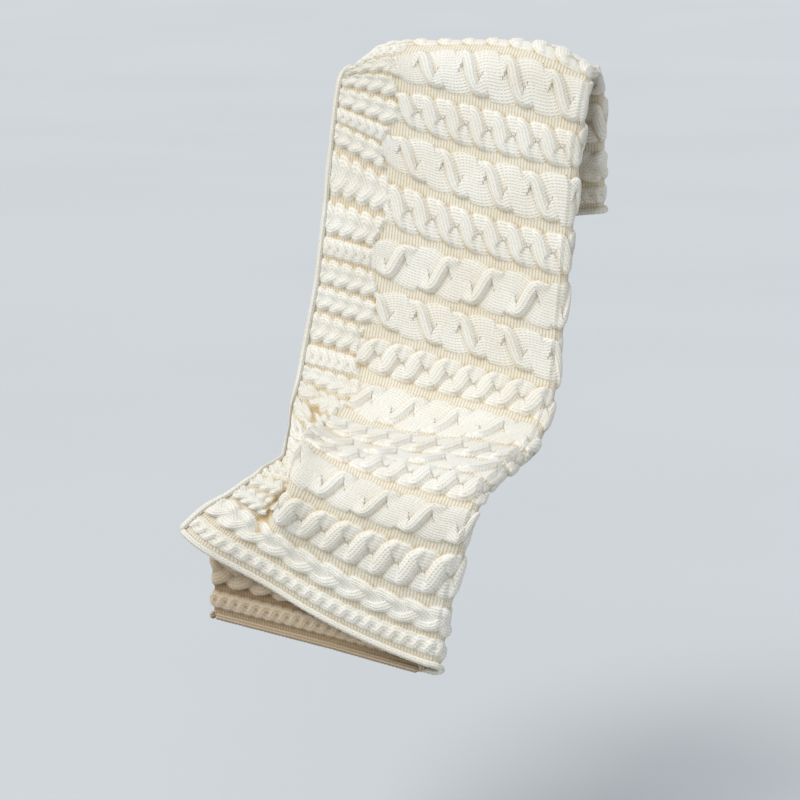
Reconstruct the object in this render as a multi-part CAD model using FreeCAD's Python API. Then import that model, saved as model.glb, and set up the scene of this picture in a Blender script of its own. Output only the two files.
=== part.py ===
import FreeCAD, Part
import math
import os

# A cable-knit throw, folded lengthwise in three and draped over a dining chair.
# It is folded like a letter: the inner third is folded over the back third from the left,
# and the outer third is folded over both from the right.
# One end hangs behind the crest rail.  The strip then goes over the rail, down the
# front of the chair back, forward across the seat and down over the seat's front edge.
# X runs across the strip, -Y is the front of the chair and +Z is up, in millimetres.
# The origin is in the middle of the seat run's underside, where the throw lies on the seat.

# The folded strip
LAYER = 11.0                 # one knitted layer with its cables
LAYERS = ("back", "inner", "outer")
STACK = LAYER * len(LAYERS)
LEFT_ROLL = LAYER            # radius of the left fold, which joins the back and inner thirds
RIGHT_ROLL = STACK / 2.0     # radius of the right fold, which joins the back and outer thirds
CORD_RADIUS = LAYER / 2.0    # the knitted cord along each raw edge
STRIP_WIDTH = 314.0          # over both folds
LEFT = -STRIP_WIDTH / 2.0 + LEFT_ROLL
RIGHT = STRIP_WIDTH / 2.0 - RIGHT_ROLL
INNER_RIGHT = RIGHT - 14.0   # the inner third's raw edge stops inside the right fold

# The chair that shapes the drape
RAIL_CENTRE = (314.0, 388.0)     # Y and Z of the bend over the crest rail
RAIL_RADIUS = 20.0               # inner radius of that bend
LEAN = 16.0                      # degrees that the chair back leans from upright
SEAT_BEND_RADIUS = 140.0         # outer radius where the back run turns onto the seat
SEAT_FRONT = -76.0               # Y where the strip starts to turn over the seat edge
EDGE_RADIUS = 30.0               # inner radius of the bend over the seat edge

# The two hanging ends
HINGE_ANGLE = 50.0               # degrees above level where each hanging end starts
HINGE_GAP = 0.4                  # degrees between a hanging end and the part that stays
FRONT_HEM_OUTER = (-46.0, -152.0)    # Z of the outer third's hem at its left and right
FRONT_HEM_INNER = (-142.0, -162.0)   # and of the other two
REAR_HEM = (222.0, 262.0)        # Z of the rear hem at its left and right

# Sizes that follow from those
LEVEL = math.radians(LEAN)
BACK_NORMAL = (-math.cos(LEVEL), math.sin(LEVEL))
BACK_DOWN = (-math.sin(LEVEL), -math.cos(LEVEL))
BACK_TOP = (RAIL_CENTRE[0] + RAIL_RADIUS * BACK_NORMAL[0],
            RAIL_CENTRE[1] + RAIL_RADIUS * BACK_NORMAL[1])
BACK_END_Z = SEAT_BEND_RADIUS * (1.0 - math.sin(LEVEL))
BACK_LENGTH = (BACK_TOP[1] - BACK_END_Z) / math.cos(LEVEL)
BACK_END_Y = BACK_TOP[0] + BACK_LENGTH * BACK_DOWN[0]
SEAT_BEND_CENTRE = (BACK_END_Y - SEAT_BEND_RADIUS * math.cos(LEVEL), SEAT_BEND_RADIUS)
SEAT_LENGTH = SEAT_BEND_CENTRE[0] - SEAT_FRONT
EDGE_CENTRE = (SEAT_FRONT, -EDGE_RADIUS)


def vector(x, yz):
    return FreeCAD.Vector(x, yz[0], yz[1])


def polar(centre, radius, degrees):
    """The Y, Z point at an angle that is measured from +Y towards +Z."""
    turn = math.radians(degrees)
    return (centre[0] + radius * math.cos(turn), centre[1] + radius * math.sin(turn))


class Bend:
    """A run of the strip that turns about an axis along X."""

    def __init__(self, centre, inner, start, end, outside=1):
        self.centre = centre
        self.inner = inner          # radius of the strip's underside
        self.start = start
        self.end = end
        self.outside = outside      # +1 where the outer third is outermost, -1 where innermost

    def point(self, height, degrees):
        return polar(self.centre, self.inner + self.outside * height, degrees)

    def slab(self, low, high, left, right):
        middle = (self.start + self.end) / 2.0
        edges = []
        for height, first, last in ((low, self.start, self.end), (high, self.end, self.start)):
            points = [vector(left, self.point(height, a)) for a in (first, middle, last)]
            edges.append(Part.Arc(*points).toShape())
        for degrees in (self.end, self.start):
            ends = [vector(left, self.point(h, degrees)) for h in (low, high)]
            edges.append(Part.makeLine(*ends))
        wire = Part.Wire(Part.__sortEdges__(edges))
        return Part.Face(wire).extrude(FreeCAD.Vector(right - left, 0, 0))

    def roll(self, side, x, height, radius):
        face = half_disc(side, x, self.point(height, self.start), radius,
                         polar((0, 0), 1.0, self.start))
        axis = vector(0, self.centre)
        return face.revolve(axis, FreeCAD.Vector(1, 0, 0), self.end - self.start)


class Run:
    """A straight run of the strip, from a start point on its underside."""

    def __init__(self, start, along, normal, length):
        self.start = start
        self.along = along
        self.normal = normal
        self.length = length

    def point(self, height, distance):
        return tuple(self.start[i] + self.normal[i] * height + self.along[i] * distance
                     for i in (0, 1))

    def slab(self, low, high, left, right, length_left=None, length_right=None):
        """A flat layer; its far end can slope from one side to the other."""
        end_left = self.length if length_left is None else length_left
        end_right = self.length if length_right is None else length_right
        corners = [vector(left, self.point(low, 0)), vector(right, self.point(low, 0)),
                   vector(right, self.point(low, end_right)),
                   vector(left, self.point(low, end_left))]
        face = Part.Face(Part.makePolygon(corners + corners[:1]))
        return face.extrude(vector(0, self.normal) * (high - low))

    def roll(self, side, x, height, radius, length=None):
        face = half_disc(side, x, self.point(height, 0), radius, self.normal)
        return face.extrude(vector(0, self.along) * (length or self.length))


def half_disc(side, x, yz, radius, normal):
    """Half a disc that bulges to one side of X; its flat side lies along the normal."""
    centre = vector(x, yz)
    up = vector(0, normal) * radius
    arc = Part.Arc(centre + up, centre + FreeCAD.Vector(side * radius, 0, 0), centre - up)
    wire = Part.Wire([arc.toShape(), Part.makeLine(centre - up, centre + up)])
    return Part.Face(wire)


rear_drop = Run((RAIL_CENTRE[0] + RAIL_RADIUS, RAIL_CENTRE[1]), (0, -1), (1, 0),
                RAIL_CENTRE[1] - min(REAR_HEM))
rear_bend = Bend(RAIL_CENTRE, RAIL_RADIUS, 0.0, HINGE_ANGLE - HINGE_GAP)
rail_bend = Bend(RAIL_CENTRE, RAIL_RADIUS, HINGE_ANGLE, 180.0 - LEAN)
back_run = Run(BACK_TOP, BACK_DOWN, BACK_NORMAL, BACK_LENGTH)
seat_bend = Bend(SEAT_BEND_CENTRE, SEAT_BEND_RADIUS, -LEAN, -90.0, outside=-1)
seat_run = Run((SEAT_BEND_CENTRE[0], 0.0), (-1, 0), (0, 1), SEAT_LENGTH)
front_bend = Bend(EDGE_CENTRE, EDGE_RADIUS, 90.0, 180.0 - HINGE_ANGLE)
lower_bend = Bend(EDGE_CENTRE, EDGE_RADIUS, 180.0 - HINGE_ANGLE + HINGE_GAP, 180.0)
front_drop = Run((SEAT_FRONT - EDGE_RADIUS, -EDGE_RADIUS), (0, -1), (-1, 0),
                 -EDGE_RADIUS - FRONT_HEM_INNER[1])

STAYING = {"rail_bend": rail_bend, "back_run": back_run, "seat_bend": seat_bend,
           "seat_run": seat_run, "front_bend": front_bend}


def span(layer):
    """The left and right edges of a third, without its folds and cords."""
    return LEFT, INNER_RIGHT if layer == "inner" else RIGHT


def hem_lengths(run, hem):
    """How far a hanging run reaches down at its left and right edges."""
    return run.start[1] - hem[0], run.start[1] - hem[1]


def hanging_layer(run, bend, layer, hem):
    """One third of a hanging end: the lower part of its bend and its straight drop."""
    low = LAYERS.index(layer) * LAYER
    drop = run.slab(low, low + LAYER, *span(layer), *hem_lengths(run, hem))
    turn = bend.slab(low, low + LAYER, *span(layer))
    return drop.fuse(turn).removeSplitter()


def hem_cord(run, layer, hem):
    """The half-round knitted cord along a third's hanging edge."""
    left, right = span(layer)
    down_left, down_right = hem_lengths(run, hem)
    height = (LAYERS.index(layer) + 0.5) * LAYER
    start = vector(left, run.point(height, down_left))
    end = vector(right, run.point(height, down_right))
    along = end - start
    across = vector(0, run.normal) * CORD_RADIUS
    down = along.cross(vector(0, run.normal)).normalize() * CORD_RADIUS
    if down.z > 0:
        down = down * -1.0
    arc = Part.Arc(start + across, start + down, start - across)
    wire = Part.Wire([arc.toShape(), Part.makeLine(start - across, start + across)])
    return Part.Face(wire).extrude(along)


def rolled_edge(pieces, side, x, height, radius):
    """A fold roll or an edge cord that follows several runs of the strip."""
    solids = [piece.roll(side, x, height, radius, *length) for piece, *length in pieces]
    whole = solids[0]
    for solid in solids[1:]:
        whole = whole.fuse(solid)
    return whole.removeSplitter()


def rolled_edges(hems=None, hanging=None):
    """The two folds and the two raw side edges, by name.

    A roll that joins two thirds ends at the higher of their two hems.
    """
    places = {"right_fold": (1, RIGHT, STACK / 2.0, RIGHT_ROLL, ("back", "outer")),
              "left_fold": (-1, LEFT, LAYER, LEFT_ROLL, ("back", "inner")),
              "outer_edge_cord": (-1, LEFT, 2.5 * LAYER, CORD_RADIUS, ("outer",)),
              "inner_edge_cord": (1, INNER_RIGHT, 1.5 * LAYER, CORD_RADIUS, ("inner",))}
    edges = {}
    for name, (side, x, height, radius, joined) in places.items():
        if hanging is None:
            pieces = [(piece,) for piece in STAYING.values()]
        else:
            run, bend = hanging
            ends = [hem_lengths(run, hems[layer])[0 if side < 0 else 1] for layer in joined]
            pieces = [(bend,), (run, min(ends))]
        edges[name] = rolled_edge(pieces, side, x, height, radius)
    return edges


def hanging_end(name, run, bend, hems):
    """Every node of the end that hangs in front of the seat or behind the rail."""
    nodes = {}
    for layer in LAYERS:
        nodes[f"{name}_drop_{layer}_third"] = hanging_layer(run, bend, layer, hems[layer])
        nodes[f"{name}_hem_cord_{layer}"] = hem_cord(run, layer, hems[layer])
    for edge, shape in rolled_edges(hems, (run, bend)).items():
        nodes[f"{name}_{edge}"] = shape
    return nodes


def staying_part():
    """Every node of the part that lies over the rail, the chair back and the seat."""
    nodes = {}
    for place, piece in STAYING.items():
        for index, layer in enumerate(LAYERS):
            low = index * LAYER
            nodes[f"{place}_{layer}_third"] = piece.slab(low, low + LAYER, *span(layer))
    for edge, shape in rolled_edges().items():
        nodes[f"main_{edge}"] = shape
    return nodes


def all_nodes():
    front_hems = {"back": FRONT_HEM_INNER, "inner": FRONT_HEM_INNER, "outer": FRONT_HEM_OUTER}
    rear_hems = {layer: REAR_HEM for layer in LAYERS}
    nodes = staying_part()
    nodes.update(hanging_end("front", front_drop, lower_bend, front_hems))
    nodes.update(hanging_end("rear", rear_drop, rear_bend, rear_hems))
    return nodes


os.makedirs("parts", exist_ok=True)
for node, shape in all_nodes().items():
    shape.exportStep(f"parts/{node}.step")

for name, centre, radius, degrees in (
        ("rear hinge", RAIL_CENTRE, RAIL_RADIUS + STACK, HINGE_ANGLE),
        ("front hinge", EDGE_CENTRE, EDGE_RADIUS + STACK, 180.0 - HINGE_ANGLE)):
    print(name, [round(value, 3) for value in polar(centre, radius, degrees)])
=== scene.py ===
import math
from collections import namedtuple

import bpy
import numpy as np
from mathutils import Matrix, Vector


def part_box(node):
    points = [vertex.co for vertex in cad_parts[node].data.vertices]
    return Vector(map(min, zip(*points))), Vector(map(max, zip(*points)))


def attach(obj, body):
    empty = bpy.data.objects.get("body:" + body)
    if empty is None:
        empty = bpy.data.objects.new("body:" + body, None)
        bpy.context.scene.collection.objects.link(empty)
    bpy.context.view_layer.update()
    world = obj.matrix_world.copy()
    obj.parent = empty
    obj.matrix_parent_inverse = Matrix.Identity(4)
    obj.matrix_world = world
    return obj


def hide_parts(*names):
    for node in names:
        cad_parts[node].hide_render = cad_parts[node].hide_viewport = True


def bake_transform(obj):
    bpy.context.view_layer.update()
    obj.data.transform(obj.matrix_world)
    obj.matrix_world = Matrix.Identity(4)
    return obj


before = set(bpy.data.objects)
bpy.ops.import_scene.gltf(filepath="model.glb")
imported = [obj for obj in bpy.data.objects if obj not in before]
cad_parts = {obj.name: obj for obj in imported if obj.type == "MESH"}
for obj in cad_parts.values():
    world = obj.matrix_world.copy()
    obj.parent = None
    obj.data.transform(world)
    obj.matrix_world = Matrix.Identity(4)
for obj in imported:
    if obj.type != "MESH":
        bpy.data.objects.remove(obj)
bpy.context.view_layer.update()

# A cream cable-knit throw, folded lengthwise in three and draped over a chair.
# The knitting is worked out on the flat cloth: u runs across the whole cut width, from the
# outer third's raw edge, round the right fold, back along the back third, round the left fold
# and along the inner third; v runs from the rear hem to the front hem.
# s is the distance along the strip's outer face, forward from the top of the rail.
# Every size is in metres.

# The knitted rows, from the rear hem to the front hem: the stitch pattern, the way its
# cables lean, the place of its first crossing, and s of the row's lower edge at the left,
# in the middle and at the right of the outer third.
ROW_X = (-0.10, 0.0, 0.13)
REAR_HEM = (-0.245, -0.232, -0.214)
ROWS = (
    ("edge", 1, 0.00, (-0.237, -0.224, -0.206)),
    ("small_rope", 1, 0.00, (-0.215, -0.202, -0.184)),
    ("plait", 1, 0.00, (-0.172, -0.159, -0.141)),
    ("rope", 1, 0.30, (-0.100, -0.096, -0.078)),
    ("lens", 1, 0.10, (-0.028, -0.032, -0.010)),
    ("rope", 1, 0.55, (0.030, 0.022, 0.048)),
    ("lens", 1, 0.46, (0.069, 0.086, 0.114)),
    ("rope", 1, 0.35, (0.114, 0.143, 0.165)),
    ("lens", 1, 0.65, (0.166, 0.203, 0.230)),
    ("rope", 1, 0.29, (0.238, 0.260, 0.287)),
    ("lens", -1, 0.70, (0.299, 0.320, 0.348)),
    ("lens", 1, 0.87, (0.352, 0.375, 0.400)),
    ("rope", -1, 0.78, (0.405, 0.424, 0.450)),
    ("lens", -1, 0.86, (0.455, 0.493, 0.503)),
    ("rope", -1, 0.60, (0.512, 0.583, 0.588)),
    ("lens", -1, 0.30, (0.575, 0.635, 0.660)),
    ("rope", -1, 0.60, (0.637, 0.687, 0.722)),
    ("lens", -1, 0.93, (0.697, 0.742, 0.776)),
    ("rope", -1, 0.88, (0.745, 0.797, 0.836)),
    ("plait", 1, 0.40, (0.785, 0.834, 0.874)),
    ("small_rope", -1, 0.00, (0.805, 0.855, 0.896)),
    ("edge", 1, 0.00, (0.811, 0.861, 0.902)),
)
ROW_WIDTH = {"edge": 0.006, "small_rope": 0.021, "plait": 0.043, "rope": 0.053, "lens": 0.061}

# How a pattern's strands run: the number of strands; the distance between crossings (pitch);
# how far a strand swings to each side between crossings, and how far as it passes over; how
# sharply it crosses; how far from a crossing it starts to spread (0 to 1); its half width
# where it passes over (narrow) and between crossings (wide), and how many times wider it is
# where it passes under; its height; and its rise over and dip under at a crossing.
Pattern = namedtuple("Pattern", "strands pitch swing over_swing sharp spread "
                                "narrow wide under height rise dip")
PATTERNS = {
    "rope": Pattern(2, 0.0270, 0.0112, 0.0145, 1.5, 0.62,
                    0.0080, 0.0106, 1.20, 0.0038, 0.0040, 0.0026),
    "lens": Pattern(2, 0.0500, 0.0100, 0.0206, 2.0, 0.48,
                    0.0059, 0.0170, 1.44, 0.0030, 0.0045, 0.0010),
    "plait": Pattern(3, 0.0280, 0.0105, 0.0105, 1.1, 0.0,
                     0.0058, 0.0072, 1.0, 0.0036, 0.0031, 0.0025),
    "small_rope": Pattern(2, 0.0130, 0.0044, 0.0056, 1.1, 0.4,
                          0.0043, 0.0048, 1.16, 0.0030, 0.0022, 0.0014),
    "braid": Pattern(3, 0.0165, 0.0104, 0.0104, 0.9, 0.0,
                     0.0048, 0.0060, 1.0, 0.0034, 0.0030, 0.0024),
    "border_rope": Pattern(2, 0.0110, 0.0056, 0.0068, 1.1, 0.4,
                           0.0042, 0.0052, 1.16, 0.0034, 0.0024, 0.0016),
}
WEB = 0.70                 # height of the knitting between two strands, as a part of theirs

# The border along the outer third's raw edge has its own run of rows.
BORDER = 0.068
BORDER_REPEAT = 0.1335
BORDER_ROPE = 0.0240
BORDER_START = 0.354
BORDER_SWAY, SWAY_LENGTH = 0.007, 0.114    # how unevenly the body's cables start beside it
TAPER, TAPER_REACH = 0.45, 0.012           # how much thinner they start, and over what length

COLUMN = 0.0034           # width of one column of stitches
STITCH = 0.0032           # length of one stitch
CORD_COLUMNS = 6          # columns of stitches round a cord
CORD_STITCH = 0.0042      # length of one of its stitches
CORD_RING = 24            # points round a cord
CORD_OVERHANG = 0.0025    # how far each cord runs past its end, to close the corners
CORD_RADIUS = 0.0031      # the knitted cord along the raw edges
RELIEF = 0.008            # how far the cables stand up from the ground of the knitting

# s and x of the strip's left and right edges
LEFT_EDGE = ((-0.26, -0.164), (0.30, -0.163), (0.385, -0.171), (0.45, -0.168), (0.52, -0.139),
             (0.60, -0.106), (0.69, -0.100), (0.726, -0.116), (0.745, -0.136), (0.79, -0.174),
             (0.92, -0.176))
LOWER_LEFT_EDGE = ((-0.26, -0.157), (0.30, -0.156), (0.38, -0.163), (0.45, -0.160),
                   (0.52, -0.134), (0.60, -0.103), (0.69, -0.100), (0.74, -0.120),
                   (0.80, -0.142), (0.92, -0.146))
RIGHT_EDGE = ((-0.26, 0.153), (-0.06, 0.153), (0.0, 0.157), (0.06, 0.155), (0.14, 0.151),
              (0.45, 0.151), (0.55, 0.157), (0.63, 0.169), (0.71, 0.172), (0.764, 0.164),
              (0.806, 0.151), (0.849, 0.141), (0.92, 0.128))

# The pleat on the seat: s, its place on the cloth, the cloth that it swallows, its depth and
# how far the cloth to its left lies lower.
PLEAT = ((0.42, 0.030, 0.000, 0.000, 0.000),
         (0.48, 0.036, 0.015, 0.008, 0.004),
         (0.54, 0.044, 0.040, 0.018, 0.012),
         (0.61, 0.052, 0.050, 0.024, 0.016),
         (0.69, 0.062, 0.034, 0.022, 0.017),
         (0.724, 0.066, 0.020, 0.017, 0.014),
         (0.751, 0.070, 0.008, 0.010, 0.009),
         (0.79, 0.080, 0.000, 0.000, 0.000))
PLEAT_REACH = 0.030       # cloth on each side of the pleat that it draws in
LEAST_HEIGHT = 0.004      # least height of the outer third's ground above the strip's underside

OUTER_STEP = 0.0015       # grid step on the outer third
HIDDEN_STEP = 0.0022      # grid step across the folded-in thirds


# ---------------------------------------------------------------- the line of the drape

def corner(node, end, axis):
    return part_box(node)[end]["xyz".index(axis)]


def layer_thickness():
    return corner("rail_bend_outer_third", 1, "z") - corner("rail_bend_inner_third", 1, "z")


LAYER = layer_thickness()
STACK = 3 * LAYER


class Drape:
    """The outer face's line in Y and Z, with its outward normal, by distance s."""

    STEP = 0.001
    START, END = -0.36, 0.95
    ROUNDING = 0.008          # how softly each bend runs into the next stretch

    def __init__(self):
        # Where the rail bend ends in the leaning back, its radii differ by less along Y.
        thick = corner("rail_bend_back_third", 0, "y") - corner("rail_bend_outer_third", 0, "y")
        lean = math.acos(thick / (2 * LAYER))
        rear = corner("rear_drop_outer_third", 1, "y")
        front = corner("rail_bend_outer_third", 0, "y")
        rail = (rear - front) / (1 + math.cos(lean))
        top = corner("rail_bend_outer_third", 1, "z")
        seat_centre = corner("seat_bend_back_third", 0, "y")
        seat_radius = (corner("seat_bend_back_third", 1, "y") - seat_centre) / math.cos(lean)
        seat_front = corner("seat_run_back_third", 0, "y")
        edge = seat_front - corner("front_drop_outer_third", 0, "y")
        back_top = top - rail + rail * math.sin(lean)
        back_low = seat_radius - (seat_radius - STACK) * math.sin(lean)
        turn = math.pi / 2 - lean
        pieces = (
            (turn, rail * turn),
            (0.0, (back_top - back_low) / math.cos(lean)),
            (-turn, (seat_radius - STACK) * turn),
            (0.0, seat_centre - seat_front),
            (math.pi / 2, edge * math.pi / 2),
            (0.0, 0.30),
        )
        self.s = np.arange(self.START, self.END, self.STEP)
        heading = smooth_line(self.headings(pieces, rail), self.ROUNDING / self.STEP)
        self.dy, self.dz = np.cos(heading), np.sin(heading)
        self.y = self.integrate(self.dy, rear - rail)
        self.z = self.integrate(self.dz, top)
        self.drop_start = sum(length for _, length in pieces[:-1])
        self.rail = rail

    def headings(self, pieces, rail):
        turned, ends = [math.pi / 2, math.pi], [-rail * math.pi / 2, 0.0]
        for turn, length in pieces:
            turned.append(turned[-1] + turn)
            ends.append(ends[-1] + length)
        return np.interp(self.s, ends, turned)

    def integrate(self, slope, at_top):
        line = np.concatenate(([0.0], np.cumsum((slope[1:] + slope[:-1]) / 2) * self.STEP))
        return line - np.interp(0.0, self.s, line) + at_top

    def place(self, x, s, height):
        """Points at a height above the strip's underside, and the outward normals there."""
        ny = np.interp(s, self.s, self.dz)
        nz = -np.interp(s, self.s, self.dy)
        size = np.hypot(ny, nz)
        ny, nz = ny / size, nz / size
        out = height - STACK
        y = np.interp(s, self.s, self.y) + ny * out
        z = np.interp(s, self.s, self.z) + nz * out
        return np.stack((x, y, z), -1), np.stack((np.zeros_like(ny), ny, nz), -1)


def smooth_line(values, sigma):
    reach = int(4 * sigma) + 1
    kernel = np.exp(-0.5 * (np.arange(-reach, reach + 1) / sigma) ** 2)
    padded = np.pad(values, reach, mode="edge")
    return np.convolve(padded, kernel / kernel.sum(), mode="valid")


def smooth_grid(values, sigma):
    blurred = np.apply_along_axis(smooth_line, 0, values, sigma)
    return np.apply_along_axis(smooth_line, 1, blurred, sigma)


def ease(value, low, high):
    t = np.clip((value - low) / (high - low), 0, 1)
    return t * t * (3 - 2 * t)


def soft_table(points, column=1):
    """A smooth function of s through rows of (s, value, ...)."""
    s = np.arange(-0.4, 1.0, 0.002)
    values = np.interp(s, [p[0] for p in points], [p[column] for p in points])
    values = smooth_line(values, 4)
    return lambda at: np.interp(at, s, values)


drape = Drape()
left_edge = soft_table(LEFT_EDGE)
lower_left_edge = soft_table(LOWER_LEFT_EDGE)
right_edge = soft_table(RIGHT_EDGE)
pleat_u, pleat_cloth, pleat_depth, pleat_step = (
    soft_table(PLEAT, column) for column in (1, 2, 3, 4))


# ---------------------------------------------------------------- the knitting

ROW_EDGES = np.concatenate(([0.0], np.cumsum([ROW_WIDTH[row[0]] for row in ROWS])))
LENGTH = ROW_EDGES[-1]


class Cable:
    """One repeat of a cable, as maps over u and the distance across its row.

    Each strand is a tube round its own winding path, so every point knows how high the
    strand stands there, how far it is from the strand's middle and how far along it is.
    """

    STEP = 0.0004
    MARGIN = 0.004
    NO_STRAND = -0.0005       # level where a strand isn't

    def __init__(self, pattern):
        self.pattern, self.pitch = pattern, pattern.pitch
        self.reach = pattern.swing + pattern.wide + 0.002
        self.u = np.arange(-self.MARGIN, self.pitch + self.MARGIN, self.STEP)
        self.y = np.arange(-self.reach, self.reach, self.STEP)
        strands = [self.strand_maps(which) for which in range(pattern.strands)]
        self.maps = np.stack(strands, 1)

    def strand_maps(self, which):
        """A strand's level, the distance from its middle and the length along it."""
        p = self.pattern
        path_u = np.arange(-p.pitch, 2 * p.pitch, self.STEP)
        turn = 2 * math.pi * (path_u / p.pitch + which) / p.strands
        path_y, half, power, lift = self.paired(turn) if p.strands == 2 else self.plaited(turn)
        step_u, step_y = np.gradient(path_u), np.gradient(path_y)
        step = np.hypot(step_u, step_y)
        length = np.cumsum(step)
        repeat = np.interp(p.pitch, path_u, length) - np.interp(0.0, path_u, length)
        length = length * max(1, round(repeat / STITCH)) * STITCH / repeat

        gap_u = self.u[None, :, None] - path_u
        gap_y = self.y[:, None, None] - path_y
        near = (gap_u ** 2 + gap_y ** 2).argmin(-1)
        gap_u, gap_y = self.u[None, :] - path_u[near], self.y[:, None] - path_y[near]
        off = (gap_y * step_u[near] - gap_u * step_y[near]) / step[near]
        away = np.hypot(gap_u, gap_y)
        dome = np.clip(1 - (away / half[near]) ** power[near], 0, 1) ** 0.5
        top = np.where(dome > 0, p.height * dome + lift[near], self.NO_STRAND)
        web = WEB * p.height * ease(p.swing + 0.4 * p.wide - np.abs(self.y), 0.0, 0.004)
        return np.stack((np.maximum(top, web[:, None] - 0.02 * away), off, length[near]))

    def paired(self, turn):
        """Path, half width, fullness and lift of one of two strands that cross over."""
        p = self.pattern
        across = np.cos(turn)
        over = np.sin(turn) > 0
        spread = ease(np.abs(across), p.spread, 1.0)
        over_side = np.tanh(p.sharp * across) / math.tanh(p.sharp)
        over_path = over_side * (p.over_swing + (p.swing - p.over_swing) * spread)
        path = np.where(over, over_path, p.swing * np.sin(math.pi / 2 * across))
        narrowed = np.where(over, 1 - spread, 0.0)
        spanning = np.where(over, 1.0, p.under + (1 - p.under) * np.abs(across))
        wide = p.wide * spanning
        half = wide + (p.narrow - wide) * narrowed
        lift = np.where(over, p.rise, -p.dip) * (1 - spread)
        return -path, half, 4.0 - 1.8 * narrowed, lift

    def plaited(self, turn):
        """The same for one of three strands."""
        p = self.pattern
        path = p.swing * np.tanh(p.sharp * np.cos(turn)) / math.tanh(p.sharp)
        narrowed = np.abs(np.sin(2 * turn))
        lift = np.sin(2 * turn) * narrowed
        half = p.wide + (p.narrow - p.wide) * narrowed
        return -path, half, 4.0 - 1.8 * narrowed, np.where(lift > 0, p.rise, p.dip) * lift

    def read(self, u, across, base):
        """Level, offset and length for every strand, between the map's grid points."""
        at_u = (u - base * self.pitch + self.MARGIN) / self.STEP
        at_y = (across + self.reach) / self.STEP
        rows, columns = self.maps.shape[2:]
        outside = (at_y < 0) | (at_y > rows - 1)
        at_u, at_y = np.clip(at_u, 0, columns - 1.001), np.clip(at_y, 0, rows - 1.001)
        j, i = at_u.astype(int), at_y.astype(int)
        fu, fy = at_u - j, at_y - i
        upper = self.maps[:, :, i, j] * (1 - fu) + self.maps[:, :, i, j + 1] * fu
        lower = self.maps[:, :, i + 1, j] * (1 - fu) + self.maps[:, :, i + 1, j + 1] * fu
        level, off, along = upper * (1 - fy) + lower * fy
        return np.where(outside, self.NO_STRAND, level), off, along


CABLES = {kind: Cable(pattern) for kind, pattern in PATTERNS.items()}


FLOOR = -1                 # stands for a strand's number between the strands
LEAST_RELIEF = 0.0003
BRAID = (BORDER_REPEAT - BORDER_ROPE) / 3
BORDER_BRAID_ZONE, BORDER_ROPE_ZONE = 100, 101


def find_zone(u, v):
    """The row of knitting at each point; the border has its own rows."""
    row = np.clip(np.searchsorted(ROW_EDGES, v) - 1, 0, len(ROWS) - 1)
    hems = (v < ROW_EDGES[3]) | (v > ROW_EDGES[-4])
    in_rope = np.mod(v - BORDER_START, BORDER_REPEAT) < BORDER_ROPE
    border = np.where(in_rope, BORDER_ROPE_ZONE, BORDER_BRAID_ZONE)
    return np.where((u < border_line(v)) & ~hems, border, row)


def border_line(v):
    """Where the border gives way to the body of the throw; the cables start a little unevenly."""
    return BORDER + BORDER_SWAY * np.sin(2 * math.pi * v / SWAY_LENGTH + 2.53)


def zone_cable(zone, v):
    """The cable in a row, its lean and phase, and the distance from the row's middle."""
    if zone == BORDER_ROPE_ZONE:
        place = np.mod(v - BORDER_START + BORDER_REPEAT / 2, BORDER_REPEAT)
        return "border_rope", 1, 0.0, place - (BORDER_REPEAT + BORDER_ROPE) / 2
    if zone == BORDER_BRAID_ZONE:
        place = np.mod(v - BORDER_START - BORDER_ROPE, BORDER_REPEAT)
        return "braid", 1, 0.0, np.mod(place, BRAID) - BRAID / 2
    kind, lean, phase, _ = ROWS[zone]
    return kind, lean, phase, v - (ROW_EDGES[zone] + ROW_EDGES[zone + 1]) / 2


def knit(u, v, held=None):
    """Relief and stitch coordinates at (u, v).

    held is the (zone, repeat, strand) of the face that a corner belongs to, so that the
    stitches of one strand don't smear into those of the next.
    """
    zone = find_zone(u, v) if held is None else held[0]
    level, off, along = np.zeros(u.shape), u.copy(), v.copy()
    repeat, shown = np.zeros(u.shape, int), np.full(u.shape, FLOOR)
    for z in np.unique(zone):
        at = zone == z
        kind, lean, phase, across = zone_cable(z, v[at])
        if kind not in CABLES:
            continue
        cable = CABLES[kind]
        if z < BORDER_BRAID_ZONE and kind in ("rope", "lens"):
            across = across * (1 + TAPER * np.exp(-(u[at] - BORDER) / TAPER_REACH))
        place = u[at] + phase * cable.pitch
        base = np.floor(place / cable.pitch).astype(int) if held is None else held[1][at]
        levels, offs, alongs = cable.read(place, across * lean, base)
        which = levels.argmax(0) if held is None else held[2][at]
        pick = np.maximum(which, 0)[None]
        top = np.take_along_axis(levels, pick, 0)[0]
        raised = top > LEAST_RELIEF if held is None else which >= 0
        level[at] = np.maximum(top, 0)
        repeat[at], shown[at] = base, np.where(raised, which, FLOOR)
        off[at] = np.where(raised, np.take_along_axis(offs, pick, 0)[0], u[at])
        along[at] = np.where(raised, np.take_along_axis(alongs, pick, 0)[0], v[at])
    return level, (zone, repeat, shown), off, along


# ---------------------------------------------------------------- the folded strip

LEVELS = {"outer": STACK - RELIEF - 0.0005, "inner": 0.0135, "back": 0.0075}
RIGHT_FOLD = 0.0335        # cloth in the right fold
LEFT_FOLD = 0.0200         # cloth in the left fold
FOLD_ROUND = 0.0165        # x from where the cloth turns into the right fold to the strip's edge
THIRD = 0.2720             # cloth in the outer and back thirds
INNER_THIRD = 0.2600
CUTS = np.cumsum([0.0, THIRD, RIGHT_FOLD, THIRD, LEFT_FOLD, INNER_THIRD])
WIDTH = CUTS[-1]
SETTLING = 6               # rounds in which x and s, which depend on each other, settle
SEAM_ROW = 6               # the gutter, just in front of the rail's top, where the meshes meet
SEAM_V = ROW_EDGES[SEAM_ROW]

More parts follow.
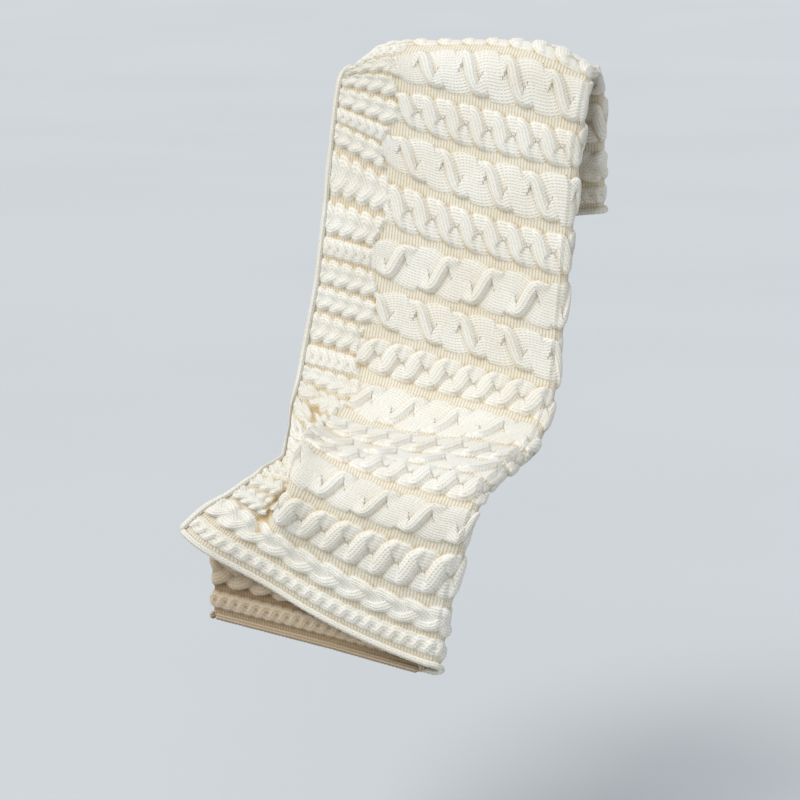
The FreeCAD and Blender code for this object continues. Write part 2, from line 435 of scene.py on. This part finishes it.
LOWER_REAR_HEM = ((-0.15, -0.252), (0.15, -0.214))
LOWER_FRONT_HEM = ((-0.15, 0.870), (0.0, 0.892), (0.15, 0.918))
LOWER_SEAM = 0.030


def outer_s(v, x):
    """Distance s on the outer third of a cloth coordinate v at a place x.

    Each row curves through its three places and runs on straight beyond them.
    """
    stations = np.array([REAR_HEM] + [row[3] for row in ROWS])
    a, b, c = (np.interp(v, ROW_EDGES, stations[:, k]) for k in range(3))
    x0, x1, x2 = ROW_X
    first = (b - a) / (x1 - x0)
    second = ((c - b) / (x2 - x1) - first) / (x2 - x0)
    inside = np.clip(x, x0, x2)
    value = a + first * (inside - x0) + second * (inside - x0) * (inside - x1)
    slope = first + second * (2 * inside - x0 - x1)
    return value + slope * (x - inside)


def lower_s(v, x):
    """The same on the two thirds beneath."""
    rear = np.interp(x, *zip(*LOWER_REAR_HEM))
    front = np.interp(x, *zip(*LOWER_FRONT_HEM))
    rear_part = rear + (LOWER_SEAM - rear) * v / SEAM_V
    front_part = LOWER_SEAM + (front - LOWER_SEAM) * (v - SEAM_V) / (LENGTH - SEAM_V)
    return np.where(v < SEAM_V, rear_part, front_part)


def outer_height(x, s, u=None):
    """Height of the outer third's ground above the strip's underside.

    The pleat is placed by the cloth coordinate u, or without one by x, for what lies beneath.
    """
    # the rounded sides, and the bulge over the top of the rail
    top = np.exp(-(s / 0.055) ** 2)
    right = np.clip((x - 0.065) / 0.085, 0, 1.2) ** 2
    left = np.clip((-x - 0.105) / 0.045, 0, 1.2) ** 2
    height = LEVELS["outer"] - (0.008 + 0.010 * top) * right - (0.005 + 0.010 * top) * left
    height = height + 0.015 * top * np.clip(1 - ((x + 0.005) / 0.14) ** 4, 0, 1)
    # a slow unevenness
    height = height + 0.0012 * np.sin(31 * x + 17 * s) * np.sin(23 * s - 11 * x + 1.0)
    # the pleat's valley, the lower cloth on its left and the roll on its right
    aside = x - pleat_x(s) if u is None else u - pleat_u(s)
    height = height - pleat_depth(s) * np.exp(-(aside / 0.010) ** 2)
    height = height - pleat_step(s) * ease(-aside, -0.004, 0.012)
    height = height + 0.9 * pleat_step(s) * np.exp(-((aside - 0.024) / 0.018) ** 2)
    # the swell on the seat, and the raised corner of the front hem
    swell = np.exp(-((s - 0.66) / 0.07) ** 2 - ((x + 0.01) / 0.05) ** 2)
    corner_lift = ease(-x, 0.05, 0.16) * ease(s, 0.72, 0.80)
    height = height + 0.006 * swell + 0.028 * corner_lift
    above = height - LEAST_HEIGHT
    return LEAST_HEIGHT + (above + np.hypot(above, 0.003)) / 2


def outer_sides(s):
    """x of the outer third's cloth at its raw edge and where it turns into the right fold."""
    return left_edge(s) + 1.4 * CORD_RADIUS, right_edge(s) - FOLD_ROUND


def pleat_x(s):
    left, right = outer_sides(s)
    return left + (right - left) * drawn_in(pleat_u(s), s)


def room_beneath(x, s):
    """How much of its usual height the outer third leaves to the thirds beneath it."""
    lowest = np.minimum.reduce([outer_height(x + aside, s) for aside in (-0.014, 0.0, 0.014)])
    share = np.clip(lowest / LEVELS["outer"], 0.12, 1.1)
    return np.where(s > 0.76, np.minimum(share, 1.0), share)


def drawn_in(u, s):
    """How far across the outer third u lies, from 0 to 1, with the pleat drawn in."""
    place, taken = pleat_u(s), pleat_cloth(s)
    swallowed = ease(u, place - PLEAT_REACH, place + PLEAT_REACH)
    before = ease(0.0, place - PLEAT_REACH, place + PLEAT_REACH)
    reach = CUTS[1] - taken * (1 - before)
    return np.clip(u - taken * (swallowed - before), -0.02, reach) / reach


def outer_section(u, v):
    """x, s and height of the outer third's ground."""
    s = outer_s(v, np.zeros_like(u))
    for _ in range(SETTLING):
        left, right = outer_sides(s)
        x = left + (right - left) * drawn_in(u, s)
        s = outer_s(v, x)
    return x, s, outer_height(x, s, u)


def flat_beneath(u, s):
    """x on the back and inner thirds, and of the two folds that end them."""
    left, right = lower_left_edge(s) + 0.011, right_edge(s) - FOLD_ROUND
    on_back = np.clip((u - CUTS[2]) / THIRD, 0, 1)
    on_inner = np.clip((u - CUTS[4]) / INNER_THIRD, 0, 1)
    x_back = right + (left - right) * on_back
    x_inner = left + (right - 0.014 - left) * on_inner
    return np.where(u > CUTS[4], x_inner, x_back), left, right


def round_fold(place, fold, from_height, to_height):
    """Where the cloth is round a fold: x outward, height, and its normal there.

    place goes from 0 to 1 round the fold; fold is 1 for the right fold and -1 for the left.
    """
    angle = fold * math.pi / 2 - math.pi * place
    middle, radius = (from_height + to_height) / 2, np.abs(from_height - to_height) / 2
    aside, up = np.cos(angle), np.sin(angle)
    return radius * aside, middle + radius * up, aside, up


def section_beneath(u, v, s_outer):
    """x, s, height, normal and room of the folds and of the two thirds beneath."""
    s = s_outer
    for _ in range(SETTLING):
        x, left, right = flat_beneath(u, s)
        turned = ease(u, CUTS[1], CUTS[2])
        s = outer_s(v, np.minimum(x, 0.135)) * (1 - turned) + lower_s(v, x) * turned
    room = room_beneath(x, s)
    outer, inner, back = (LEVELS[third] * room for third in ("outer", "inner", "back"))
    height = np.where(u > CUTS[4], inner, back)
    nx, nh = np.zeros_like(u), np.where(u > CUTS[4], 1.0, -1.0)
    for low, high, fold, edge, start, end in (
            (CUTS[1], CUTS[2], 1, right, outer, back), (CUTS[3], CUTS[4], -1, left, back, inner)):
        here = (u > low) & (u < high)
        place = np.clip((u - low) / (high - low), 0, 1)
        aside, fold_height, fold_nx, fold_nh = round_fold(place, fold, start, end)
        x, height = np.where(here, edge + aside, x), np.where(here, fold_height, height)
        nx, nh = np.where(here, fold_nx, nx), np.where(here, fold_nh, nh)
    return x, s, height, nx, nh, np.clip(room, 0, 1)


def across_strip(u, v):
    """Cross-section at (u, v): x, s, height of the ground, its normal and the relief's scale."""
    x, s, height = outer_section(u, v)
    flattened = 1 - 0.5 * np.exp(-(s / 0.035) ** 2)
    outer = (x, s, height, np.zeros_like(u), np.ones_like(u), flattened)
    beneath = section_beneath(u, v, s)
    return [np.where(u > CUTS[1], low, high) for low, high in zip(beneath, outer)]


def ground(u, v):
    """Points on the ground of the knitting, the cloth's normals and the relief's scale."""
    x, s, height, nx, nh, scale = across_strip(u, v)
    points, out = drape.place(x, s, height)
    sideways = np.zeros_like(points)
    sideways[..., 0] = 1.0
    return points, out * nh[..., None] + sideways * nx[..., None], scale


# ---------------------------------------------------------------- meshes

def sample_lines():
    """Grid lines: u is fine on the outer third and its fold; v splits each row evenly."""
    u = [np.arange(0.0, CUTS[2], OUTER_STEP)]
    u.append(np.linspace(CUTS[2], CUTS[5], int((CUTS[5] - CUTS[2]) / HIDDEN_STEP)))
    v = [np.linspace(low, high, int(round((high - low) / OUTER_STEP)), endpoint=False)
         for low, high in zip(ROW_EDGES[:-1], ROW_EDGES[1:])]
    return np.concatenate(u), np.concatenate(v + [[LENGTH]])


def grid_mesh(name, points, corner_uv, values):
    """A mesh over a grid of points, with stitch coordinates and named vertex values."""
    rows, columns = points.shape[:2]
    index = np.arange(rows * columns).reshape(rows, columns)
    quads = np.stack((index[:-1, :-1], index[:-1, 1:], index[1:, 1:], index[1:, :-1]), -1)
    quads = quads.reshape(-1, 4)
    mesh = bpy.data.meshes.new(name)
    mesh.vertices.add(rows * columns)
    mesh.vertices.foreach_set("co", points.reshape(-1).astype(np.float32))
    mesh.loops.add(quads.size)
    mesh.loops.foreach_set("vertex_index", quads.reshape(-1).astype(np.int32))
    mesh.polygons.add(len(quads))
    mesh.polygons.foreach_set("loop_start", np.arange(0, quads.size, 4, dtype=np.int32))
    mesh.polygons.foreach_set("use_smooth", np.ones(len(quads), bool))
    mesh.update(calc_edges=True)
    uv = mesh.uv_layers.new(name="stitch")
    uv.data.foreach_set("uv", corner_uv.reshape(-1).astype(np.float32))
    for key, value in values.items():
        attribute = mesh.attributes.new(key, "FLOAT", "POINT")
        attribute.data.foreach_set("value", value.reshape(-1).astype(np.float32))
    mesh.validate()
    piece = bpy.data.objects.new(name, mesh)
    bpy.context.scene.collection.objects.link(piece)
    return piece


def shadowed(u):
    """Painted shade on the thirds that are folded in: how much darker their colour is painted,
    for the shadow of the thirds above them.
    """
    back = ease(u, CUTS[2] - 0.004, CUTS[2] + 0.004)
    inner = ease(u, CUTS[3], CUTS[4])
    return 0.25 * back + 0.75 * inner


def face_stitches(u, v):
    """Stitch coordinates at each face's corners, all read on the strand that the face is on."""
    centre_u = (u[:-1, :-1] + u[:-1, 1:]) / 2
    centre_v = (v[:-1, :-1] + v[1:, :-1]) / 2
    _, held, _, _ = knit(centre_u, centre_v)
    corners = []
    for rows, columns in ((slice(0, -1), slice(0, -1)), (slice(0, -1), slice(1, None)),
                          (slice(1, None), slice(1, None)), (slice(1, None), slice(0, -1))):
        *_, off, along = knit(u[rows, columns], v[rows, columns], held)
        corners.append(np.stack((off / COLUMN, along / STITCH), -1))
    return np.stack(corners, 2)


def cloth_grid():
    """The whole cloth: grid lines, points, stitch coordinates and values at each point.

    hollow is negative where the knitting lies lower than what surrounds it and in the pleat's
    crease, and the material paints shade there; the folded-in thirds carry painted shade of their
    own.
    """
    u_lines, v_lines = sample_lines()
    v, u = np.meshgrid(v_lines, u_lines, indexing="ij")
    relief, *_ = knit(u, v)
    relief = smooth_grid(relief, 0.55)
    rim = np.minimum(ease(u, 0.0, 0.004), ease(WIDTH - u, 0.0, 0.004))
    relief = relief * rim
    points, normals, scale = ground(u, v)
    points = points + normals * (relief * scale)[..., None]
    # the pleat's crease is added to hollow only so that the material paints shade there
    hollow = relief - smooth_grid(relief, 3.0) - crease(u, v)
    values = {"relief": relief, "hollow": hollow, "painted_fold_shade": shadowed(u)}
    return u_lines, v_lines, points, face_stitches(u, v), values


def crease(u, v):
    """The pleat's inside, where painted shade darkens the colour as in the hollows of the
    knitting.
    """
    s = outer_s(v, pleat_x(outer_s(v, 0.0)))
    near = np.exp(-((u - pleat_u(s) + 0.004) / 0.008) ** 2)
    return np.where(u < CUTS[1], 0.34 * pleat_depth(s) * near, 0.0)


def cut_cloth(grid, name, low, high):
    """The part of the cloth between two values of v."""
    _, v_lines, points, stitches, values = grid
    first, last = np.searchsorted(v_lines, (low - 1e-6, high - 1e-6))
    part = slice(first, last + 1)
    return grid_mesh(name, points[part], stitches[first:last],
                     {key: value[part] for key, value in values.items()})


def cord_line(u, v, inward):
    """The middle of a cord along a raw edge, and its two sideways directions."""
    points, normals, _ = ground(u, v)
    near, _, _ = ground(u + inward[0] * 0.004, v + inward[1] * 0.004)
    outward = points - near
    outward -= normals * (outward * normals).sum(-1, keepdims=True)
    outward /= np.linalg.norm(outward, axis=-1, keepdims=True)
    centre = points + outward * CORD_RADIUS * 0.35 + normals * 0.0016
    for end, beside in ((0, 1), (-1, -2)):
        direction = centre[end] - centre[beside]
        centre[end] += direction / np.linalg.norm(direction) * CORD_OVERHANG
    return centre, outward, normals


def cord_mesh(name, u, v, inward):
    """A knitted cord along a raw edge; inward points from the edge into the cloth."""
    centre, outward, normals = cord_line(u, v, inward)
    steps = np.linalg.norm(np.diff(centre, axis=0), axis=1)
    length = np.concatenate(([0.0], np.cumsum(steps)))
    from_end = np.minimum(length, length[-1] - length)
    cap = np.sqrt(np.clip(from_end / CORD_RADIUS, 0.02, 1))
    turn = np.linspace(0, 2 * math.pi, CORD_RING + 1)
    columns = np.abs(np.mod(turn / (2 * math.pi) * CORD_COLUMNS, 1) - 0.5)
    slanted = length[:, None] / CORD_STITCH + 1.1 * columns
    plump = 1 + 0.11 * np.sin(2 * math.pi * slanted) + 0.16 * np.cos(math.pi * columns)
    radius = (CORD_RADIUS * cap)[:, None] * plump
    shape = (centre[:, None] + outward[:, None] * (radius * np.cos(turn))[..., None]
             + normals[:, None] * (radius * np.sin(turn))[..., None])

    around = np.broadcast_to(turn / (2 * math.pi) * CORD_COLUMNS, radius.shape)
    along = np.broadcast_to(length[:, None] / CORD_STITCH, radius.shape)
    uv = np.stack((around, along), -1)
    corner_uv = np.stack((uv[:-1, :-1], uv[:-1, 1:], uv[1:, 1:], uv[1:, :-1]), 2)
    # painted shade: the cord is painted tan between its columns of stitches, and darker on the
    # thirds that are folded in
    values = {"relief": np.full(radius.shape, 0.004),
              "hollow": np.broadcast_to(-0.0022 * columns, radius.shape),
              "painted_fold_shade": np.broadcast_to(shadowed(u)[:, None], radius.shape)}
    return grid_mesh(name, shape, corner_uv, values)


# ---------------------------------------------------------------- material

WHITE = (1.0, 1.0, 1.0)
# The first colour below is painted shade, the tan of the knitting's hollows; the other two are
# the wool's own cream.
WOOL_HOLLOW_SHADE, WOOL_LIGHT = (0.59, 0.48, 0.31), (0.785, 0.78, 0.735)
CORD_LIGHT = (0.775, 0.765, 0.715)


class Nodes:
    """Short calls for building a node tree."""

    def __init__(self, name):
        self.material = bpy.data.materials.new(name)
        self.material.use_nodes = True
        self.tree = self.material.node_tree
        self.shader = self.tree.nodes["Principled BSDF"]

    def add(self, kind, **settings):
        node = self.tree.nodes.new(kind)
        for key, value in settings.items():
            setattr(node, key, value)
        return node

    def link(self, source, target):
        self.tree.links.new(source, target)

    def math(self, operation, a, b=None):
        node = self.add("ShaderNodeMath", operation=operation)
        for socket, value in zip(node.inputs, (a, b)):
            if value is None:
                continue
            if isinstance(value, (int, float)):
                socket.default_value = value
            else:
                self.link(value, socket)
        return node.outputs[0]

    def ramp(self, source, low, high, dark, light):
        """A colour that goes from dark to light as source goes from low to high."""
        reach = self.add("ShaderNodeMapRange", interpolation_type="SMOOTHSTEP")
        self.link(source, reach.inputs["Value"])
        reach.inputs["From Min"].default_value = low
        reach.inputs["From Max"].default_value = high
        return self.mix(reach.outputs[0], dark, light)

    def mix(self, factor, a, b):
        node = self.add("ShaderNodeMix", data_type="RGBA")
        for socket, value in zip((node.inputs[0], node.inputs[6], node.inputs[7]),
                                 (factor, a, b)):
            if isinstance(value, tuple):
                socket.default_value = (*value, 1.0)
            elif isinstance(value, (int, float)):
                socket.default_value = value
            else:
                self.link(value, socket)
        return node.outputs[2]

    def times(self, a, b):
        node = self.add("ShaderNodeMix", data_type="RGBA", blend_type="MULTIPLY")
        node.inputs[0].default_value = 1.0
        self.link(a, node.inputs[6])
        self.link(b, node.inputs[7])
        return node.outputs[2]

    def noise(self, scale, detail=2.0):
        place = self.add("ShaderNodeTexCoord")
        node = self.add("ShaderNodeTexNoise")
        self.link(place.outputs["Object"], node.inputs["Vector"])
        node.inputs["Scale"].default_value = scale
        node.inputs["Detail"].default_value = detail
        return node.outputs[0]


def knitted_stitches(n):
    """Height of the V stitches, and of their columns alone, from the stitch coordinates."""
    uv = n.add("ShaderNodeUVMap", uv_map="stitch")
    split = n.add("ShaderNodeSeparateXYZ")
    n.link(uv.outputs[0], split.inputs[0])
    middle = n.math("SUBTRACT", n.math("FRACT", split.outputs[0]), 0.5)
    round_column = n.math("COSINE", n.math("MULTIPLY", middle, math.pi))
    slant = n.math("MULTIPLY", n.math("ABSOLUTE", middle), 1.1)
    slanted = n.math("ADD", split.outputs[1], slant)
    loop = n.math("SINE", n.math("MULTIPLY", slanted, 2 * math.pi))
    stitch = n.math("ADD", n.math("MULTIPLY", round_column, 0.42), n.math("MULTIPLY", loop, 0.17))
    return stitch, round_column


def wool_colour_and_painted_shade(n, stitch, round_column, hollow_shade, light):
    """Cream on the cables, with painted shade: tan in the hollows and between the stitches,
    darker on the thirds that are folded in.
    """
    hollow, relief, painted_fold_shade = (n.add("ShaderNodeAttribute", attribute_name=name).outputs["Fac"]
                               for name in ("hollow", "relief", "painted_fold_shade"))
    # painted shade: the ground between the cables, the gaps between the stitches and the gutters
    # between the stitch columns are painted darker; the patches and flecks after them are the
    # wool's own uneven tone
    foot = n.ramp(relief, 0.0002, 0.0022, (0.96, 0.93, 0.87), WHITE)
    groove = n.ramp(stitch, -0.10, 0.34, (0.90, 0.84, 0.72), WHITE)
    comb = n.ramp(round_column, 0.05, 0.65, (0.84, 0.75, 0.58), WHITE)
    gutter = n.ramp(relief, 0.0, 0.0012, comb, WHITE)
    patches = n.ramp(n.noise(14.0), 0.3, 0.7, (0.95, 0.93, 0.89), WHITE)
    flecks = n.ramp(n.noise(420.0), 0.3, 0.7, (0.95, 0.93, 0.90), WHITE)
    # painted shade: the thirds that are folded in are painted darker, darkest in their hollows,
    # for the shadow of the thirds above them
    shade = n.ramp(hollow, -0.0024, 0.0008, (0.28, 0.19, 0.12), (0.72, 0.60, 0.47))
    # painted shade: the lower the knitting lies below what surrounds it, the more tan its colour
    colour = n.ramp(hollow, -0.0029, -0.0006, hollow_shade, light)
    for tint in (foot, groove, gutter, patches, flecks, n.mix(painted_fold_shade, WHITE, shade)):
        colour = n.times(colour, tint)
    return colour


def wool(name, hollow_shade, light):
    """Undyed wool: columns of V stitches, cream on the cables, with painted shade that turns the
    hollows tan.
    """
    n = Nodes(name)
    stitch, round_column = knitted_stitches(n)
    colour = wool_colour_and_painted_shade(n, stitch, round_column, hollow_shade, light)
    n.link(colour, n.shader.inputs["Base Color"])
    bump = n.add("ShaderNodeBump")
    bump.inputs["Strength"].default_value = 1.0
    bump.inputs["Distance"].default_value = 0.0010
    fuzz = n.math("MULTIPLY", n.noise(1500.0, 3.0), 0.35)
    n.link(n.math("ADD", stitch, fuzz), bump.inputs["Height"])
    n.link(bump.outputs[0], n.shader.inputs["Normal"])
    n.shader.inputs["Roughness"].default_value = 0.92
    n.shader.inputs["Specular IOR Level"].default_value = 0.15
    n.shader.inputs["Sheen Weight"].default_value = 0.25
    n.shader.inputs["Sheen Roughness"].default_value = 0.5
    return n.material


def floor_material():
    n = Nodes("floor_pale")
    colour = n.ramp(n.noise(0.6), 0.3, 0.7, (0.480, 0.500, 0.512), (0.495, 0.515, 0.527))
    n.link(colour, n.shader.inputs["Base Color"])
    n.shader.inputs["Roughness"].default_value = 0.9
    return n.material


# ---------------------------------------------------------------- the throw


def bend_rear(piece):
    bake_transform(piece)


def bend_front(piece):
    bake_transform(piece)


def edge_cords():
    """The cords along both raw side edges and both end hems, by name."""
    step = 0.0025
    cords = {}
    for side, u_edge, inward in (("outer", 0.0, 1), ("inner", WIDTH, -1)):
        for end, low, high in (("rear", 0.0, SEAM_V), ("front", SEAM_V, LENGTH)):
            v = np.arange(low, high + step / 2, (high - low) / round((high - low) / step))
            u = np.full_like(v, u_edge)
            cords[f"{end}_{side}_edge_cord"] = cord_mesh(f"{side}_edge_cord_{end}_end", u, v,
                                                         (inward, 0))
    for end, v_edge, inward in (("rear", 0.0, 1), ("front", LENGTH, -1)):
        u = np.arange(0.0, WIDTH, step)
        v = np.full_like(u, v_edge)
        cords[f"{end}_hem_cord"] = cord_mesh(f"hem_cord_{end}_end", u, v, (0, inward))
    return cords


def bend_throw(rear, front, cords):
    """Bakes the placement of the cloth pieces and the side cords into their meshes, and attaches
    the hem cords to the bodies of the rear and front drops.
    """
    bend_rear(rear)
    bend_front(front)
    for side in ("outer", "inner"):
        bend_rear(cords[f"rear_{side}_edge_cord"])
        bend_front(cords[f"front_{side}_edge_cord"])
    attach(cords["rear_hem_cord"], "rear_drop")
    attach(cords["front_hem_cord"], "front_drop")


def stand_for_nodes():
    """Hides the CAD nodes of the thirds, the folds and the cords, whose stretches of the throw
    the knitted pieces show.
    """
    thirds = [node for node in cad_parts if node.endswith(("_third", "_fold"))]
    behind = [node for node in thirds if node.startswith(("rear_", "rail_bend"))]
    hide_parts(*behind)
    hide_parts(*[node for node in thirds if node not in behind])
    for side in ("outer", "inner"):
        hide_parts(f"rear_{side}_edge_cord")
        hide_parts(f"main_{side}_edge_cord",
                    f"front_{side}_edge_cord")
    for end in ("rear", "front"):
        hem_nodes = [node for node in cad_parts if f"{end}_hem_cord" in node]
        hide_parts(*hem_nodes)


def build_throw():
    grid = cloth_grid()
    rear = cut_cloth(grid, "throw_rear", 0.0, SEAM_V)
    front = cut_cloth(grid, "throw_front", SEAM_V, LENGTH)
    cords = edge_cords()
    knit_wool = wool("cable_knit_wool", WOOL_HOLLOW_SHADE, WOOL_LIGHT)
    cord_wool = wool("edge_cord_wool", WOOL_HOLLOW_SHADE, CORD_LIGHT)
    for piece in (rear, front):
        piece.data.materials.append(knit_wool)
    for piece in cords.values():
        piece.data.materials.append(cord_wool)
    bend_throw(rear, front, cords)
    stand_for_nodes()


# ---------------------------------------------------------------- the room

def aimed_light(data, place, target):
    light = bpy.data.objects.new(data.name, data)
    light.location = place
    light.rotation_euler = (Vector(target) - Vector(place)).to_track_quat("-Z", "Y").to_euler()
    bpy.context.scene.collection.objects.link(light)


def area_light(name, place, target, size, power, colour):
    data = bpy.data.lights.new(name, "AREA")
    data.shape = "DISK"
    data.size = size
    data.energy = power
    data.color = colour
    aimed_light(data, place, target)


def soft_sun(name, place, target, strength, spread, colour):
    """A sun as wide as a bright window, which lights near and far alike."""
    data = bpy.data.lights.new(name, "SUN")
    data.energy = strength
    data.angle = spread
    data.color = colour
    aimed_light(data, place, target)


def build_floor():
    """A wide pale floor that rises into a bowl far away, so that no horizon shows."""
    radius = np.linspace(10.0, 60.0, 26)
    height = -0.44 + 0.006 * (radius - radius[0]) ** 2
    turn = np.linspace(0, 2 * math.pi, 96, endpoint=False)
    count = len(turn)
    x = radius[:, None] * np.cos(turn)
    y = radius[:, None] * np.sin(turn)
    z = np.broadcast_to(height[:, None], x.shape)
    points = np.stack((x, y, z), -1).reshape(-1, 3)
    faces = [list(range(count))]
    for ring in range(len(radius) - 1):
        for i in range(count):
            j = (i + 1) % count
            inner, outer = ring * count, (ring + 1) * count
            faces.append([inner + i, outer + i, outer + j, inner + j])
    mesh = bpy.data.meshes.new("floor")
    mesh.from_pydata(points.tolist(), [], faces)
    mesh.polygons.foreach_set("use_smooth", np.ones(len(faces), bool))
    mesh.materials.append(floor_material())
    floor = bpy.data.objects.new("floor", mesh)
    bpy.context.scene.collection.objects.link(floor)


def build_light():
    world = bpy.data.worlds.new("studio")
    bpy.context.scene.world = world
    world.use_nodes = True
    background = world.node_tree.nodes["Background"]
    background.inputs[0].default_value = (0.90, 0.94, 1.0, 1)
    background.inputs[1].default_value = 0.78
    target = (0.0, 0.1, 0.15)
    soft_sun("key", (-2.6, -3.2, 6.0), target, 2.2, math.radians(40), (1.0, 0.985, 0.96))
    area_light("fill", (0.4, -2.8, 0.7), target, 2.0, 11, (0.97, 0.98, 1.0))
    bpy.context.scene.view_settings.view_transform = "Standard"


def build_camera():
    data = bpy.data.cameras.new("camera")
    data.sensor_width = 36.0
    data.lens = 125.3
    data.clip_end = 100
    camera = bpy.data.objects.new("camera", data)
    camera.location = (1.124, -2.707, 0.572)
    forward = Vector((-0.3697, 0.9142, -0.1661))
    camera.rotation_euler = forward.to_track_quat("-Z", "Y").to_euler()
    bpy.context.scene.collection.objects.link(camera)
    bpy.context.scene.camera = camera


build_throw()
build_floor()
build_light()
build_camera()
